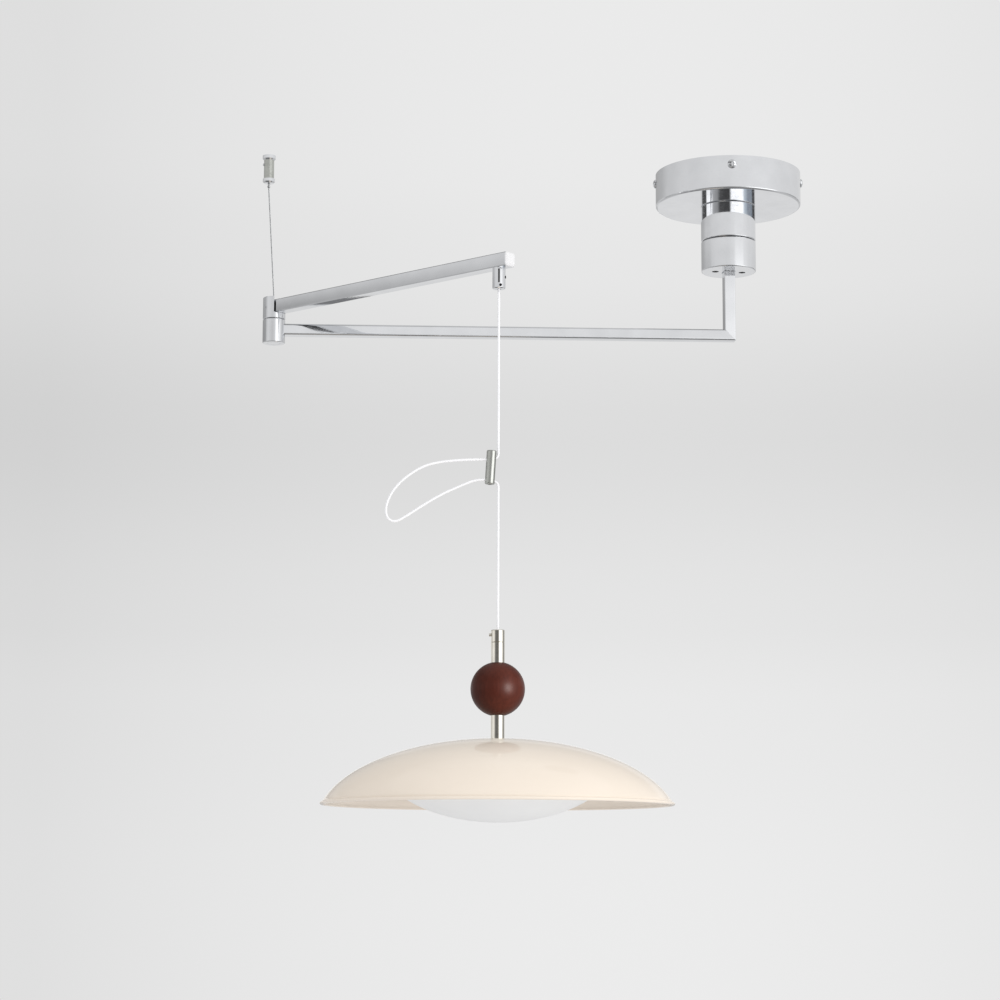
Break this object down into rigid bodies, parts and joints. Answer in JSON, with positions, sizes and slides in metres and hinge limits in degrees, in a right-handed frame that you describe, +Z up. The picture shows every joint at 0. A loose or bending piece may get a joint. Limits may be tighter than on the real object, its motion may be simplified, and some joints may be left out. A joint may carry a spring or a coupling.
{
  "type": "adjustable pendant lamp",
  "caption": "Ceiling lamp with a chrome canopy, two swinging arms, a stay wire and a height-adjustable cord that carries a wooden ball and a shallow cream shade with an opal diffuser.",
  "frame": {"origin": "on the ceiling plane at the canopy's axis", "axes": "+Z up, the lower arm runs along -X, the upper arm is swung towards -Y"},
  "size_m": [0.5967, 0.4943, 0.7218],
  "materials": {
    "chrome_plate": "mirror polished",
    "warm_nickel": "satin nickel",
    "bright_steel": "plain",
    "white_case": "matt",
    "fibre": "matt",
    "white_cord": "satin",
    "dark_wood": "satin lacquer",
    "cream_enamel": "gloss",
    "white_enamel": "satin",
    "chip_yellow": "gloss",
    "opal": "opal satin"
  },
  "bodies": {
    "ceiling": {"ceiling_bracket": "bright_steel", "canopy": "chrome_plate", "side_screws": "chrome_plate", "led_driver": "white_case", "terminal_block": "white_case", "nipple": "bright_steel", "nipple_nuts": "bright_steel", "column_top": "chrome_plate", "swivel_washer": "fibre", "swivel_nut": "bright_steel", "anchor_base": "chrome_plate", "anchor_sleeve": "warm_nickel", "anchor_cap": "chrome_plate", "anchor_set_screw": "chrome_plate", "wire_tip": "bright_steel"},
    "lower_arm": {"column_low": "chrome_plate", "column_plate": "chrome_plate", "plate_screws": "chrome_plate", "drop_tube": "chrome_plate", "lower_tube": "chrome_plate", "elbow_lower": "chrome_plate", "elbow_pin": "bright_steel", "elbow_nut": "bright_steel", "elbow_plug": "chrome_plate", "elbow_washer": "bright_steel", "stay_wire": "bright_steel", "wire_stop": "bright_steel"},
    "upper_arm": {"elbow_upper": "chrome_plate", "upper_tube": "chrome_plate", "cross_pin": "chrome_plate", "end_cap": "white_case", "cord_grip": "chrome_plate", "grip_nut": "bright_steel", "grip_screws": "chrome_plate", "cord_tail": "white_cord"},
    "adjuster": {"cord_upper": "white_cord", "adjuster_barrel": "warm_nickel", "adjuster_screws": "warm_nickel"},
    "cord_loop": {"cord_loop": "white_cord"},
    "pendant": {"cord_lower": "white_cord", "stem_cap": "warm_nickel", "cap_screw": "warm_nickel", "threaded_rod": "bright_steel", "stem_upper": "warm_nickel", "ball": "dark_wood", "stem_lower": "warm_nickel", "shade": "cream_enamel", "shade_washer": "bright_steel", "rod_nuts": "bright_steel", "lamp_pan": "white_enamel", "led_board": "white_case", "led_chips": "chip_yellow", "diffuser": "opal", "diffuser_screws": "bright_steel"}
  },
  "joints": [
    {"name": "arm_swivel", "type": "hinge", "parent": "ceiling", "child": "lower_arm", "pos_m": [0, 0, -0.077], "axis": [0, 0, 1], "range_deg": [-2.5, 2.5], "deforming": ["stay_wire"]},
    {"name": "elbow_swing", "type": "hinge", "parent": "lower_arm", "child": "upper_arm", "pos_m": [-0.5, 0, -0.1812], "axis": [0, 0, 1], "range_deg": [-307.5, 45.5]},
    {"name": "pendant_sway", "type": "hinge", "parent": "upper_arm", "child": "adjuster", "pos_m": [-0.29006, -0.24151, -0.1952], "axis": [0, 1, 0], "range_deg": [-10, 10]},
    {"name": "lamp_height", "type": "slide", "parent": "adjuster", "child": "pendant", "axis": [0, 0, 1], "range_m": [-0.12, 0.09], "deforming": ["cord_lower"]},
    {"name": "loop_feed", "type": "slide", "parent": "adjuster", "child": "cord_loop", "axis": [-0.892, 0, -0.452], "range_m": [-0.06, 0.045], "deforming": ["cord_loop"]}
  ],
  "couplings": [
    {"joint": "loop_feed", "follows": "lamp_height", "ratio": 0.5}
  ]
}
